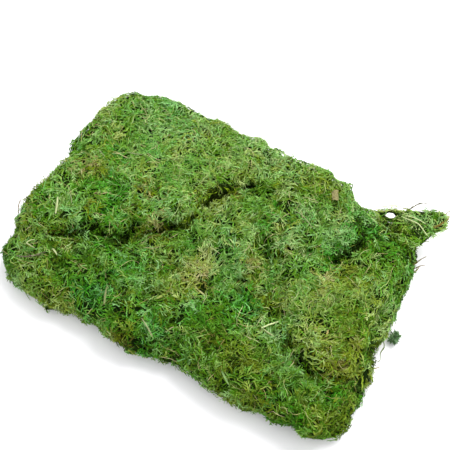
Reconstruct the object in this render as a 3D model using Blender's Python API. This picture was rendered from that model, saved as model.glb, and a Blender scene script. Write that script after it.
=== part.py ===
"""A mat of dried sheet moss: three matted sheets, a torn corner scrap and dry stalks.

The mat is about 315 by 235 mm and 48 mm thick. It lies flat on its cut underside.
Lengths in the tables are millimetres, seen from above: X runs along the long side,
Y along the short side and Z up from the surface that the mat lies on.
"""

import bmesh
import bpy
import numpy as np
from mathutils import Vector, noise
from mathutils.bvhtree import BVHTree

MM = 0.001

# Heights above the surface that the mat lies on.
COVERED_TOP = 24.0          # base sheet where another sheet lies on it
LYING_GAP = 0.6             # air between two sheets that lie on each other
FRONT_TOP = 33.0            # base sheet where it shows in front
SADDLE_TOP = 42.5           # base sheet where it shows between the two upper sheets
BACK_TOP = 43.5
RIGHT_TOP = 42.0
SCRAP_TOP = 31.5
TUFT_TOP = 6.5
UPPER_FLOOR = COVERED_TOP + LYING_GAP

CELL = 7.6                  # size of the facets on the sheets
DITCH_START = 4.0           # the base sheet begins to rise this far from an upper sheet
SPAN_SAMPLES = 10           # samples between two outline points
RELAX_ROUNDS = 4            # rounds of evening out the grid inside a sheet
TOUCH_GAP = 0.35            # air between a stalk and the moss that it lies on
OVERHANG_DROP = 8.0         # a stalk spans a place where the moss falls away by more
STALK_STEP = 3.2            # distance between the points of a stalk
TIP_THINNING = 0.45         # how much thinner a stalk is at its ends than in the middle

# Lumps of the moss: wavelength and height of the large and of the small ones.
LARGE_LUMP = (38.0, 4.6)
SMALL_LUMP = (17.0, 3.4)
RAGGED_EDGE = (21.0, 4.0)

# Rims from the top edge down to the underside: how far the surface lies inside the
# outline, and its height as a share of the sheet's thickness.
BASE_RIM = ((14.0, 1.0), (8.0, 0.93), (3.2, 0.74), (0.0, 0.40), (1.6, 0.15), (6.5, 0.0))
UPPER_RIM = ((9.5, 1.0), (4.8, 0.90), (1.2, 0.62), (0.0, 0.36), (5.0, 0.0))
SCRAP_RIM = ((3.6, 1.0), (0.8, 0.70), (0.0, 0.35), (1.8, 0.0))
TUFT_RIM = ((1.8, 1.0), (0.2, 0.60), (0.0, 0.25), (0.7, 0.0))

# Outlines from above, anticlockwise: X, Y, and the width of the open crevice outside.
BASE_OUTLINE = (
    (-154, -72, 0), (-147, -90, 0), (-130, -105, 0), (-102, -109, 0), (-84, -109, 0),
    (-62, -101, 0), (-40, -103, 0), (-20, -108.5, 0), (-2, -103, 0), (13, -100, 0),
    (24, -95, 0), (35, -97, 0), (64, -101, 0), (92, -97, 0), (124, -96, 0),
    (147, -88, 0), (156, -68, 0), (156, -45, 0), (152, -18, 0), (148, 15, 0),
    (147, 48, 0), (143, 70, 0), (141, 88, 0), (138, 99, 0), (129, 105, 0),
    (113, 107, 0), (96, 106, 0), (84, 103, 0), (75, 104, 0), (64, 110, 0),
    (46, 113, 0), (16, 111, 0), (-40, 107, 0), (-100, 107, 0), (-136, 101, 0),
    (-153, 88, 0), (-159, 60, 0), (-158, 22, 0), (-152, -12, 0), (-155, -44, 0),
)
BACK_OUTLINE = (
    (-149, -66, 6), (-140, -70, 6), (-129, -66, 6), (-119, -59, 6), (-110, -53, 6),
    (-100, -44, 6), (-89, -37, 6), (-79, -37, 6), (-69, -30, 6), (-58, -20, 6),
    (-48, -10, 6), (-39, -3, 6), (-32, 5, 6), (-29, 13, 6), (-28, 21, 6),
    (-27, 30, 7), (-22, 40, 8), (-12, 53, 8), (6, 68, 6), (26, 79, 6),
    (44, 87, 6), (52, 96, 6), (46, 109, 6), (21, 110, 6), (-34, 106, 6),
    (-58, 107, 6), (-78, 107, 6), (-130, 100, 6), (-150, 90, 6), (-158, 62, 6),
    (-157, 25, 6), (-151, -10, 6), (-155, -44, 6),
)
RIGHT_OUTLINE = (
    (51, 9, 6), (58, 0, 6), (64, -9, 6), (70, -20, 7), (79, -31, 7),
    (90, -41, 7), (102, -49, 7), (116, -54, 7), (133, -53, 6), (143, -42, 6),
    (144, -26, 6), (141, -4, 6), (138, 22, 6), (137, 48, 6), (131, 68, 6),
    (119, 77, 6), (110, 73, 6), (104, 61, 8), (99, 48, 8), (89, 37, 7),
    (69, 32, 6), (54, 27, 6), (49, 18, 6),
)
SCRAP_OUTLINE = (
    (96, 93, 8), (108, 92, 10), (120, 89, 10), (131, 85, 8), (140, 84, 6),
    (143, 92, 6), (145, 104, 6), (149, 115, 6), (144, 125, 6), (132, 124, 6),
    (122, 118, 6), (111, 113, 6), (99, 108, 6), (91, 100, 6),
)
TUFT_OUTLINE = (
    (149.5, 14, 0), (153, 10.5, 0), (157.5, 13, 0), (157, 18.5, 0), (152.5, 21.5, 0),
    (149.5, 18.5, 0),
)

# Pits and sunk spots in the moss: X, Y, radius and depth.
BASE_PITS = (
    (-83, -68, 9, 8), (32, 17, 10, 5), (-20, -62, 11, 4), (24, -82, 9, 5),
    (-116, -82, 10, 4), (50, -32, 10, 4), (64, 60, 9, 4), (-52, -76, 10, 4),
    (144, 80, 26, 9), (150, -56, 18, 8),
)
BACK_PITS = (
    (-92, 62, 11, 3), (-44, 30, 12, 4), (-118, 8, 10, 3), (-40, 76, 12, 3),
    (-92, -8, 9, 4), (-10, 88, 9, 3),
)
RIGHT_PITS = (
    (112, -12, 10, 4), (120, 44, 9, 5), (92, -26, 8, 3), (104, 20, 10, 3),
)
NO_PITS = ()

# The see-through hole in the corner scrap.
HOLE_CENTRE = (106.0, 99.5)
HOLE_RADII = (4.3, 2.8)
HOLE_TAPER = (0.8, 1.15)    # share of those radii at the bottom and top of the cutter
HOLE_TURN = 0.55            # radians
HOLE_DEPTH = 40.0           # length of the cutter, well over the scrap's thickness

# Dry stalks: points from above, radius in the middle, and how pale they are.
STRAW = (0.72, 0.66, 0.42, 1.0)
PALE = (0.86, 0.82, 0.62, 1.0)
BROWN = (0.13, 0.085, 0.04, 1.0)
GREEN_STRAW = (0.38, 0.45, 0.18, 1.0)
STALKS = {
    "pale_stalk": (((-126, -36.5), (-123, -41), (-118, -49.5)), 0.85, PALE),
    "bent_stalk": (
        ((-122.5, -73), (-125, -75), (-126, -78.5), (-122, -79), (-118, -79)), 0.5, PALE
    ),
    "dark_twig": (((-127, -91.5), (-119.5, -88.5), (-113, -83.5), (-107.5, -77.5)), 0.6, BROWN),
    "thin_straw_1": (((-122.5, -27), (-118, -30), (-113.5, -35)), 0.4, STRAW),
    "thin_straw_2": (((-105.5, 30.5), (-99.5, 32), (-93.5, 34)), 0.4, STRAW),
    "thin_straw_3": (((-127, 19), (-123, 17.5), (-118.5, 16)), 0.4, STRAW),
    "thin_straw_4": (((68.5, -43), (73, -43.5), (78.5, -43.5)), 0.4, PALE),
    "thin_straw_5": (((41, 55), (46.5, 54), (53.5, 51), (59, 48)), 0.4, GREEN_STRAW),
    "long_straw": (((-11.5, -84.5), (-4, -88), (3, -91.5)), 0.6, PALE),
    "bright_straw": (((68, -44.5), (71.5, -36.5), (76, -28)), 0.6, PALE),
    "corner_stalk_1": (
        ((112.5, 102.5), (119, 103), (125.5, 103.5), (130, 102), (138, 97)), 0.45, GREEN_STRAW
    ),
    "corner_stalk_2": (((115, 105), (120, 106.5), (125.5, 107), (132.5, 106.5)), 0.35, GREEN_STRAW),
    "corner_twig": (
        ((110.5, 109), (115, 111.5), (117, 115.5), (119, 120), (122, 124), (125, 125.5)), 0.5, BROWN
    ),
}

# Flat pieces: points from above along the middle, width, thickness, colour.
BLADES = {
    "tan_blade": (((-42, -90), (-48, -80.5), (-51.5, -74)), 1.6, 0.6, (0.46, 0.36, 0.17, 1.0)),
    "green_blade": (((61, -88), (65.5, -91), (70.5, -94)), 1.5, 0.6, (0.42, 0.50, 0.20, 1.0)),
    "white_chip": (((-105.5, -72), (-102.5, -73), (-99.5, -74.5)), 1.4, 0.7, (0.88, 0.86, 0.74, 1.0)),
    "bark_chip": (((57.5, 90), (60, 85), (62.5, 80.5)), 5.0, 1.2, (0.36, 0.20, 0.11, 1.0)),
}

MOSS_GREEN = (0.08, 0.19, 0.03, 1.0)
MOSS_DEEP_GREEN = (0.05, 0.14, 0.03, 1.0)
MOSS_OLIVE = (0.14, 0.20, 0.04, 1.0)


def smooth_loop(points):
    """Sample a closed curve that runs smoothly through the points."""
    here = np.array(points, float)
    before, after, beyond = (np.roll(here, shift, axis=0) for shift in (1, -1, -2))
    t = np.linspace(0.0, 1.0, SPAN_SAMPLES, endpoint=False)[None, :, None]
    a, b, c, d = (part[:, None, :] for part in (before, here, after, beyond))
    curve = 2 * b + (c - a) * t + (2 * a - 5 * b + 4 * c - d) * t**2
    curve = 0.5 * (curve + (3 * b - a - 3 * c + d) * t**3)
    return curve.reshape(-1, here.shape[1])


def smooth_line(points, step):
    """Sample an open curve that runs smoothly through the points, a step apart."""
    ends = [2 * np.array(points[0]) - points[1], 2 * np.array(points[-1]) - points[-2]]
    here = np.array([ends[0], *points, ends[1]], float)
    places = []
    for a, b, c, d in zip(here, here[1:], here[2:], here[3:]):
        count = max(2, round(np.linalg.norm(c - b) / step))
        for t in np.arange(count) / count:
            place = 2 * b + (c - a) * t + (2 * a - 5 * b + 4 * c - d) * t**2
            places.append(0.5 * (place + (3 * b - a - 3 * c + d) * t**3))
    return np.array([*places, here[-2]])


class Outline:
    """A closed outline seen from above, all of it in sight from its heart."""

    def __init__(self, points, heart):
        self.heart = np.array(heart, float)
        loop = smooth_loop(points)
        self.places = loop[:, :2]
        self.crevice = loop[:, 2]
        along = np.roll(self.places, -1, axis=0) - np.roll(self.places, 1, axis=0)
        out = np.stack([along[:, 1], -along[:, 0]], axis=1)
        self.out = out / np.linalg.norm(out, axis=1)[:, None]
        steps = np.linalg.norm(np.roll(self.places, -1, axis=0) - self.places, axis=1)
        self.lengths = np.concatenate([[0.0], np.cumsum(steps)])

    def inset(self, share, depth):
        """The point a share of the way round, moved a depth inwards."""
        at = (share % 1.0) * self.lengths[-1]
        place = []
        for values in (*self.places.T, *self.out.T):
            place.append(np.interp(at, self.lengths, np.append(values, values[0])))
        x, y, out_x, out_y = place
        return np.array([x - depth * out_x, y - depth * out_y])

    def distance(self, x, y):
        """Distance outside the outline, negative inside, and the crevice width there."""
        away = self.places - (x, y)
        nearest = int(np.argmin((away**2).sum(axis=1)))
        side = -float(away[nearest] @ self.out[nearest])
        return np.copysign(float(np.linalg.norm(away[nearest])), side), self.crevice[nearest]


def smooth_step(low, high, value):
    """Rise smoothly from 0 at low to 1 at high."""
    t = min(max((value - low) / (high - low), 0.0), 1.0)
    return t * t * (3.0 - 2.0 * t)


def lumps(x, y, seed):
    """Height of the moss lumps at a point, about zero on average."""
    height = 0.0
    for wavelength, size in (LARGE_LUMP, SMALL_LUMP):
        height += size * noise.noise(Vector((x / wavelength, y / wavelength, seed)))
    return height


def raggedness(x, y, z, seed):
    """How far the torn edge of a sheet strays outwards at a point."""
    wavelength, size = RAGGED_EDGE
    return size * noise.noise(Vector((x / wavelength, y / wavelength, seed + z / wavelength)))


def pit_depth(x, y, pits):
    """How far a point is sunk by the pits that it lies in."""
    depth = 0.0
    for pit_x, pit_y, radius, deep in pits:
        away = np.hypot(x - pit_x, y - pit_y)
        depth += deep * (1.0 - smooth_step(0.0, radius, away))
    return depth


def base_height(x, y, covers):
    """Top of the base sheet: full where it shows, flat and lower under the others."""
    shown = 1.0
    for cover in covers:
        away, crevice = cover.distance(x, y)
        shown = min(shown, smooth_step(DITCH_START, DITCH_START + crevice, away))
    open_top = FRONT_TOP + (SADDLE_TOP - FRONT_TOP) * smooth_step(-10.0, 62.0, y + 0.25 * x)
    open_top += lumps(x, y, 3.0) - pit_depth(x, y, BASE_PITS)
    return COVERED_TOP + (open_top - COVERED_TOP) * shown


def grid_share(u, v, columns, rows):
    """How far round the square a grid point lies, from its first corner, as a share."""
    ring = max(abs(u), abs(v))
    if ring == 0.0:
        return 0.0, 0.0
    across = (u / ring + 1.0) / 2.0
    up = (v / ring + 1.0) / 2.0
    if abs(u) <= abs(v):
        round_to = across * columns if v < 0 else columns + rows + (1.0 - across) * columns
    else:
        round_to = columns + up * rows if u > 0 else 2 * columns + rows + (1.0 - up) * rows
    return ring, round_to / (2.0 * (columns + rows))


def material(name, colour, roughness=0.9):
    """A matte dry plant material in one linear colour."""
    finish = bpy.data.materials.new(name)
    finish.use_nodes = True
    shader = finish.node_tree.nodes["Principled BSDF"]
    shader.inputs["Base Color"].default_value = colour
    shader.inputs["Roughness"].default_value = roughness
    shader.inputs["Metallic"].default_value = 0.0
    return finish


def add_object(name, data, colour, collection, home):
    piece = bpy.data.objects.new(name, data)
    data.materials.append(material(name, colour))
    collection.objects.link(piece)
    piece.parent = home
    return piece


def moss_sheet(outline, underside, top, rim, cells, seed):
    """A closed sheet: a grid bent to the outline, a rounded rim and a flat underside."""
    columns, rows = cells
    sheet = bmesh.new()
    bmesh.ops.create_grid(sheet, x_segments=columns, y_segments=rows, size=1.0)
    around = sheet.verts.layers.float.new("around")

    def rim_place(share, depth, height_share):
        level = underside + (top(*outline.inset(share, depth)) - underside) * height_share
        stray = raggedness(*outline.inset(share, 0.0), level, seed)
        x, y = outline.inset(share, depth - stray)
        return Vector((x * MM, y * MM, level * MM))

    for vert in sheet.verts:
        ring, share = grid_share(vert.co.x, vert.co.y, columns, rows)
        vert[around] = share
        edge_place = rim_place(share, *rim[0]).xy
        middle = Vector(outline.heart * MM)
        vert.co.xy = middle + ring * (edge_place - middle)
    inner = [vert for vert in sheet.verts if not vert.is_boundary]
    for _ in range(RELAX_ROUNDS):
        bmesh.ops.smooth_vert(sheet, verts=inner, factor=0.5, use_axis_x=True, use_axis_y=True)
    for vert in sheet.verts:
        vert.co.z = top(vert.co.x / MM, vert.co.y / MM) * MM
    for depth, height_share in rim[1:]:
        edge = [e for e in sheet.edges if e.is_boundary]
        grown = bmesh.ops.extrude_edge_only(sheet, edges=edge)["geom"]
        for vert in (item for item in grown if isinstance(item, bmesh.types.BMVert)):
            vert.co = rim_place(vert[around], depth, height_share)
    bmesh.ops.holes_fill(sheet, edges=[e for e in sheet.edges if e.is_boundary], sides=0)
    bmesh.ops.recalc_face_normals(sheet, faces=sheet.faces)
    mesh = bpy.data.meshes.new("moss_sheet")
    sheet.to_mesh(mesh)
    sheet.free()
    mesh.shade_smooth()
    return mesh


def grid_cells(outline, cell):
    """Facets along and across a sheet, so that the ones on its edge measure a cell."""
    width, depth = np.ptp(outline.places, axis=0)
    half_round = outline.lengths[-1] / (2.0 * cell)
    columns = max(3, round(half_round * width / (width + depth)))
    return columns, max(3, round(half_round) - columns)


def upper_top(level, seed, pits):
    """The height of an upper sheet's top at a point."""
    def top(x, y):
        return level + lumps(x, y, seed) - pit_depth(x, y, pits)
    return top


def drill_hole(scrap, cutters):
    """Cut the see-through hole of the corner scrap, wider at the top than below."""
    bottom, top = HOLE_TAPER
    bpy.ops.mesh.primitive_cone_add(
        vertices=12, radius1=bottom, radius2=top, depth=HOLE_DEPTH * MM
    )
    cutter = bpy.context.object
    cutter.name = "scrap_hole"
    bpy.context.collection.objects.unlink(cutter)
    cutters.objects.link(cutter)
    cutter.scale = (HOLE_RADII[0] * MM, HOLE_RADII[1] * MM, 1.0)
    cutter.location = (HOLE_CENTRE[0] * MM, HOLE_CENTRE[1] * MM, SCRAP_TOP * MM)
    cutter.rotation_euler = (0.0, 0.0, HOLE_TURN)
    cutter.parent = scrap.parent
    cutter.hide_render = True
    cutter.display_type = "WIRE"
    cut = scrap.modifiers.new("see_through_hole", "BOOLEAN")
    cut.operation = "DIFFERENCE"
    cut.solver = "EXACT"
    cut.object = cutter


def moss_surface(sheets):
    """The sheets' faces as one search tree, to lay stalks on."""
    verts, faces = [], []
    for sheet in sheets:
        start = len(verts)
        verts.extend(vert.co.copy() for vert in sheet.data.vertices)
        faces.extend([start + index for index in face.vertices] for face in sheet.data.polygons)
    return BVHTree.FromPolygons(verts, faces)


def height_below(surface, x, y, spread):
    """The highest moss under a spot and around it, in millimetres."""
    highest = 0.0
    for dx, dy in ((0, 0), (spread, 0), (-spread, 0), (0, spread), (0, -spread)):
        hit = surface.ray_cast(Vector(((x + dx) * MM, (y + dy) * MM, 0.1)), Vector((0, 0, -1)))
        if hit[0] is not None:
            highest = max(highest, hit[0].z / MM)
    return highest


def lay_on_moss(surface, line, clearance):
    """Heights for a nearly straight stalk that touches the moss from above."""
    steps = np.linspace(0.0, 1.0, len(line))
    fine = np.linspace(0.0, 1.0, 6 * len(line))
    spots = [np.interp(fine, steps, line[:, axis]) for axis in (0, 1)]
    below = np.array([height_below(surface, x, y, clearance) for x, y in zip(*spots)])
    held = below > below.max() - OVERHANG_DROP
    slope, level = np.polyfit(fine[held], below[held], 1)
    lift = np.max(below - (slope * fine + level))
    return slope * steps + level + lift + clearance + TOUCH_GAP


def stalk(name, points, radius, colour, surface, collection, home):
    """A thin round stalk: a tube, thinner at its ends, lying on the moss."""
    line = smooth_line(points, STALK_STEP)
    heights = lay_on_moss(surface, line, radius)
    curve = bpy.data.curves.new(name, "CURVE")
    curve.dimensions = "3D"
    curve.bevel_depth = radius * MM
    curve.bevel_resolution = 1
    curve.use_fill_caps = True
    spline = curve.splines.new("POLY")
    spline.points.add(len(line) - 1)
    for point, (x, y), z, share in zip(spline.points, line, heights, np.linspace(-1, 1, len(line))):
        point.co = (x * MM, y * MM, z * MM, 1.0)
        point.radius = 1.0 - TIP_THINNING * share**2
    return add_object(name, curve, colour, collection, home)


def blade(name, points, width, thickness, colour, surface, collection, home):
    """A flat dry blade or flake: a flat bar bent along its middle line."""
    line = smooth_line(points, STALK_STEP)
    heights = lay_on_moss(surface, line, width / 2.0) - width / 2.0 + thickness
    along = np.gradient(line, axis=0)
    along /= np.linalg.norm(along, axis=1)[:, None]
    steps = np.linspace(-0.5, 0.5, len(line))
    bar = bmesh.new()
    bmesh.ops.create_cube(bar, size=1.0)
    lengthwise = [e for e in bar.edges if abs(e.verts[0].co.x - e.verts[1].co.x) > 0.5]
    bmesh.ops.subdivide_edges(bar, edges=lengthwise, cuts=len(line) - 2, use_grid_fill=True)
    for vert in bar.verts:
        step = int(np.argmin(np.abs(steps - vert.co.x)))
        half = vert.co.y * width * (1.0 - TIP_THINNING * (2.0 * steps[step])**2)
        x = line[step, 0] - along[step, 1] * half
        y = line[step, 1] + along[step, 0] * half
        vert.co = (x * MM, y * MM, (heights[step] + vert.co.z * thickness) * MM)
    mesh = bpy.data.meshes.new(name)
    bar.to_mesh(mesh)
    bar.free()
    return add_object(name, mesh, colour, collection, home)


def centre_on_origin(home, collection):
    """Move the parent so that the mat's box stands on the origin, centred."""
    bpy.context.view_layer.update()
    seen = bpy.context.evaluated_depsgraph_get()
    corners = []
    for piece in collection.objects:
        if piece.type in {"MESH", "CURVE"}:
            mesh = piece.evaluated_get(seen).to_mesh()
            corners.extend(piece.matrix_world @ vert.co for vert in mesh.vertices)
            piece.evaluated_get(seen).to_mesh_clear()
    corners = np.array(corners)
    middle = (corners.min(axis=0) + corners.max(axis=0)) / 2.0
    home.location = (-middle[0], -middle[1], -corners[:, 2].min())


def build():
    for item in list(bpy.data.objects):
        bpy.data.objects.remove(item, do_unlink=True)
    clump = bpy.data.collections.new("moss_clump")
    cutters = bpy.data.collections.new("cutters")
    bpy.context.scene.collection.children.link(clump)
    bpy.context.scene.collection.children.link(cutters)
    home = bpy.data.objects.new("mat_centre", None)
    clump.objects.link(home)

    base = Outline(BASE_OUTLINE, (0, 0))
    back = Outline(BACK_OUTLINE, (-75, 70))
    right = Outline(RIGHT_OUTLINE, (106, 8))
    scrap = Outline(SCRAP_OUTLINE, (124, 104))
    tuft = Outline(TUFT_OUTLINE, (153, 16))

    def base_top(x, y):
        return base_height(x, y, (back, right, scrap))

    back_top = upper_top(BACK_TOP, 11.0, BACK_PITS)
    right_top = upper_top(RIGHT_TOP, 17.0, RIGHT_PITS)
    scrap_top = upper_top(SCRAP_TOP, 23.0, NO_PITS)
    tuft_top = upper_top(TUFT_TOP, 29.0, NO_PITS)
    sheets = (
        ("base_sheet", base, 0.0, base_top, BASE_RIM, CELL, MOSS_GREEN),
        ("back_sheet", back, UPPER_FLOOR, back_top, UPPER_RIM, CELL, MOSS_DEEP_GREEN),
        ("right_sheet", right, UPPER_FLOOR, right_top, UPPER_RIM, CELL, MOSS_OLIVE),
        ("corner_scrap", scrap, UPPER_FLOOR, scrap_top, SCRAP_RIM, CELL / 1.6, MOSS_GREEN),
        ("loose_tuft", tuft, 0.0, tuft_top, TUFT_RIM, CELL / 4.0, MOSS_DEEP_GREEN),
    )
    pieces = []
    for seed, (name, outline, underside, top, rim, cell, colour) in enumerate(sheets):
        cells = grid_cells(outline, cell)
        mesh = moss_sheet(outline, underside, top, rim, cells, 40.0 + 5.0 * seed)
        pieces.append(add_object(name, mesh, colour, clump, home))
    drill_hole(clump.objects["corner_scrap"], cutters)

    surface = moss_surface(pieces)
    for name, (points, radius, colour) in STALKS.items():
        stalk(name, points, radius, colour, surface, clump, home)
    for name, (points, width, thickness, colour) in BLADES.items():
        blade(name, points, width, thickness, colour, surface, clump, home)
    centre_on_origin(home, clump)


build()
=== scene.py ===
"""Looks of a mat of dried sheet moss: curled feather-moss shoots on matted sheets.

Lengths are millimetres in the mat's own frame: X along its long side, Y along its short
side, Z up from the surface that it lies on. Meshes are written in metres.
"""

import bmesh
import bpy
import numpy as np
from mathutils import Matrix, Vector
from mathutils.bvhtree import BVHTree


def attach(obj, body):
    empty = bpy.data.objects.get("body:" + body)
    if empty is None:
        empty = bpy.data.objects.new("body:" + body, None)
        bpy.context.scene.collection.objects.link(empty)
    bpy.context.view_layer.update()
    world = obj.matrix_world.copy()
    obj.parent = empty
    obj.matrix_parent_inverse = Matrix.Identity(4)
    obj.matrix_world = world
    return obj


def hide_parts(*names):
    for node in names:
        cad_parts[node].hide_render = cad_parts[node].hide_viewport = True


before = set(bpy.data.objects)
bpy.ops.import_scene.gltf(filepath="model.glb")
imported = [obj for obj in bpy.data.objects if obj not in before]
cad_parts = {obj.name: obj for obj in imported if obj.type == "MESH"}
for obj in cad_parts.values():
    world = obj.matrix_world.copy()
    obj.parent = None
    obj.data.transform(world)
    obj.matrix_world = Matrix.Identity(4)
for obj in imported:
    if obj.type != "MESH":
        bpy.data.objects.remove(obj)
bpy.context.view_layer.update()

MM = 0.001
ROOT = "root"
SHEETS = ("base_sheet", "back_sheet", "right_sheet", "corner_scrap", "loose_tuft")
BASE, BACK, RIGHT, SCRAP, TUFT = range(5)

# The camera looks down on the near long side, a little from its right.
CAMERA_AZIMUTH = 32.0
CAMERA_ELEVATION = 58.0
CAMERA_DISTANCE = 655.0
CAMERA_TARGET = (-6.7, 18.0, 20.0)
LENS_MM = 64.0
SENSOR_MM = 36.0

# The light: a wide lamp behind the mat on the right, and an even dome. Metres and watts.
LAMP_FROM = (0.24, 0.74, 1.0)
LAMP_AWAY = 1.5
LAMP_WIDTH = 1.1
LAMP_POWER = 24.0
DOME_STRENGTH = 1.25
FLOOR_REACH = 3.0

# The grid on which the mat's shape is kept as distances to its surface.
GRID_STEP = 2.0
GRID_MARGIN = 10.0
GRID_FLOOR = -6.0
GRID_TOP = 58.0

# Joints between sheets are bridged by shoots, except along these open crevices.
BRIDGE_RADIUS = 10.0
BRIDGE_FROM = 2.0           # a hollow this deep begins to be bridged
BRIDGE_FULL = 5.0
BRIDGED_BY = 0.5            # spots that rise by more count as bridged
JOINT_EDGE = 6.0            # the rims this close to a bridged joint are filled below too
BRIDGE_LOWEST = 8.0         # nothing hangs over the surface that the mat lies on
BRIDGE_INSET = 5.0          # nor outside the base sheet's own rim
CREVICES = (
    # how far the crevice stays open and its painted shade reaches, and the places along the crevice
    (6.4, ((-120, -70), (-112, -65), (-106, -60), (-98, -52), (-91, -47))),
    (6.4, ((-82, -47), (-75, -45), (-70, -41), (-65, -37))),
    (6.8, ((-55, -28), (-49, -22), (-41, -14), (-35, -9), (-28, -3))),
    (7.8, ((-27, 20), (-24, 27), (-19, 36), (-13, 44), (-8, 49), (-3, 54))),
    (3.5, ((69, -28), (74, -37))),
    (3.5, ((87, -46), (93, -51))),
    (5.5, ((99, -58), (107, -61), (119, -60), (130, -57))),
    (4.5, ((134, -56), (141, -53), (147, -47))),
    (4.5, ((88, 29), (93.5, 36), (96, 43), (98, 52), (97, 60), (94, 67))),
    (3.5, ((114, 68), (120, 69), (125, 65))),
    (4.0, ((104, 86), (114, 85), (124, 83), (133, 81))),
    (4.0, ((142, -6), (144, -15), (147, -25))),
)
CREVICE_RAGGED = 0.2        # how unevenly shoots hang into a crevice
OPEN_SHARE = (0.22, 0.58)   # fully open within the first share of that, bridged past the second
OPEN_SPOTS = ((-29, 5, 3), (40, 7, 3))

# Painted light and shade: the mat is brighter from its near side to its far side, towards the lamp:
# Y, brightness.
PAINTED_LIGHT_NEAR_TO_FAR = ((-118, 1.0), (-106, 0.85), (-88, 0.78), (-55, 0.96), (-10, 1.14), (118, 1.26))
PAINTED_LIGHT_LEFT_TO_RIGHT = 0.04        # painted light: brighter by this share at the right end, towards the lamp, darker at the left
RIGHT_END = 158.0           # X of that end

# Areas that are lighter or dimmer than the rest, partly painted light and shade and partly the moss's
# own colour: place, radius, change of brightness.
LIGHT_AND_TONE_AREAS = (
    (-46, -3, 12, 0.20), (-103, -50, 14, 0.14), (-27, 48, 16, 0.10), (90, -53, 22, 0.18),
    (7, 91, 22, 0.28), (11, -7, 12, 0.28), (132, 103, 18, 0.28), (-132, -78, 16, 0.40),
    (116, 58, 26, -0.42), (121, 81, 12, -0.20), (143, -66, 22, -0.36), (14, 35, 22, -0.38),
    (121, -93, 13, -0.50), (40, -67, 20, -0.42), (-26, 10, 9, -0.18), (133, -18, 20, -0.36),
    (119, -6, 30, -0.10), (88, -76, 20, -0.20), (50, -26, 17, -0.24), (58, -88, 20, -0.26),
    (-20, -101, 12, -0.28), (-97, 87, 18, 0.32), (-78, 82, 18, 0.20), (-150, -20, 8, 0.20),
    (-105, -19, 20, -0.20), (-5, 44, 15, -0.24), (18, -44, 10, 0.22), (24, -96, 18, 0.20),
    (-1, -112, 10, 0.22), (-72, -78, 16, -0.24), (116, -38, 11, -0.12), (50, 80, 20, -0.20),
    (-120, 3, 22, -0.20), (-115, -70, 17, -0.12), (-83, -50, 24, -0.10), (-35, -18, 20, -0.08),
    (39, 67, 15, -0.14), (70, 73, 16, -0.16), (25, 7, 16, -0.14), (-92, -103, 12, -0.20),
    (72, -60, 16, 0.16), (-2, -66, 16, -0.10), (112, 28, 18, -0.24), (124, 86, 9, -0.40),
    (94, 24, 18, -0.22), (136, 45, 15, -0.18), (80, -103, 15, 0.16), (114, -68, 14, 0.16),
    (106, 41, 6, 0.40), (-64, -28, 9, 0.20), (-106, -46, 10, 0.20), (-101, -121, 9, 0.32),
    (-85, -120, 9, 0.30), (-121, -110, 11, 0.32), (-62, -108, 10, 0.22), (-148, -68, 11, 0.42),
    (-39, -116, 10, 0.34), (92, -109, 7, 0.24),
)

# Areas where the moss is calmer or rougher than the rest: place, radius, change.
ROUGH_AREAS = (
    (-115, 38, 22, -0.24), (-86, 32, 28, -0.34), (-61, 38, 30, -0.34), (-36, 50, 26, -0.26),
    (-10, 62, 22, -0.10), (-94, 60, 20, -0.15), (-68, 76, 18, -0.24), (103, -10, 30, -0.30),
    (80, -18, 18, -0.16), (124, -2, 18, -0.12), (89, 17, 20, -0.20), (108, -28, 20, -0.22),
    (56, 73, 18, -0.15), (10, -31, 16, -0.20), (-103, -74, 26, 0.50), (-78, -76, 28, 0.45),
    (-28, -95, 26, 0.42), (1, -80, 30, 0.60), (29, -90, 26, 0.46), (-20, -60, 30, 0.20),
    (-60, -95, 24, 0.24), (54, -15, 26, 0.24), (71, -43, 20, 0.34), (40, 9, 16, 0.16),
    (62, -95, 24, 0.40), (96, -88, 22, 0.24), (-122, -88, 20, 0.30),
)

# Small hollows between tufts: place, radius. They are sunk by the depth and darkened with painted
# shade.
HOLLOWS = (
    (-30, -96, 4), (-18, -109, 4), (-6, -106, 3), (9, -79, 4), (45, -81, 4), (109, -81, 5),
    (-91, -71, 4), (-88, -109, 3), (26, 9, 3), (34, 7, 4), (40, 7, 4), (50, 9, 3),
    (36, -31, 4), (-91, -86, 3), (-104, -81, 2.5), (-119, -91, 3),
    (87, -43, 2.5), (91.5, -47, 2.6), (97, -51, 2.5), (104, -59, 2), (108.5, -60.5, 2.2),
    (113.5, -62, 2.4), (119, -65, 2.4), (124, -67, 2.2), (94, 37, 3), (106, 33, 2.4),
    (95, 61, 2.8), (115, 65, 2.8), (29, 15, 2.4), (64, 72, 2.4), (54, 85, 2.4),
)
HOLLOW_DEPTH = 3.0

# The see-through hole of the scrap: place and half axes, kept clear of shoots.
HOLE_CENTRE = (106.8, 92.0)
HOLE_RADII = (4.3, 2.8)
HOLE_TURN = 0.55
HOLE_TOP = 31.0
HOLE_FOOT = 23.0
HOLE_LEAN = (-0.33, 0.53)   # the clear shaft leans to the far side on its way down

# Soft clumps of the moss: wavelength and height, all of it inside the CAD surface.
CLUMPS = ((26.0, 1.4), (11.0, 1.4), (5.5, 0.8))
CLUMP_SINK = 1.0

# Winding creases between tufts: size of the tufts between them, width share and depth.
CREASES = ((15.0, 0.26, 2.6), (8.5, 0.30, 2.0))
THICK_SHEETS = 3            # the first sheets; the scrap and the tuft are too thin for clumps

# Where shoots may be, in millimetres.
SURFACE_BAND = 1.4          # places tried this close to the surface are drawn onto it
LOWEST_FOOT = 2.2           # no shoot starts lower than this
STEEPEST_FOOT = -0.55       # nor where the way out of the surface points down by more
STRAY_LIMIT = 3.6           # shoots that leave the mat by more are left out
HIGHEST_SHOOT = 48.0        # shoots that would rise over this bend level
LOWEST_SHOOT = 0.35         # no shoot's middle comes closer to the ground
LOWEST_LEAF = 0.15          # nor a leaf's edge

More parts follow.
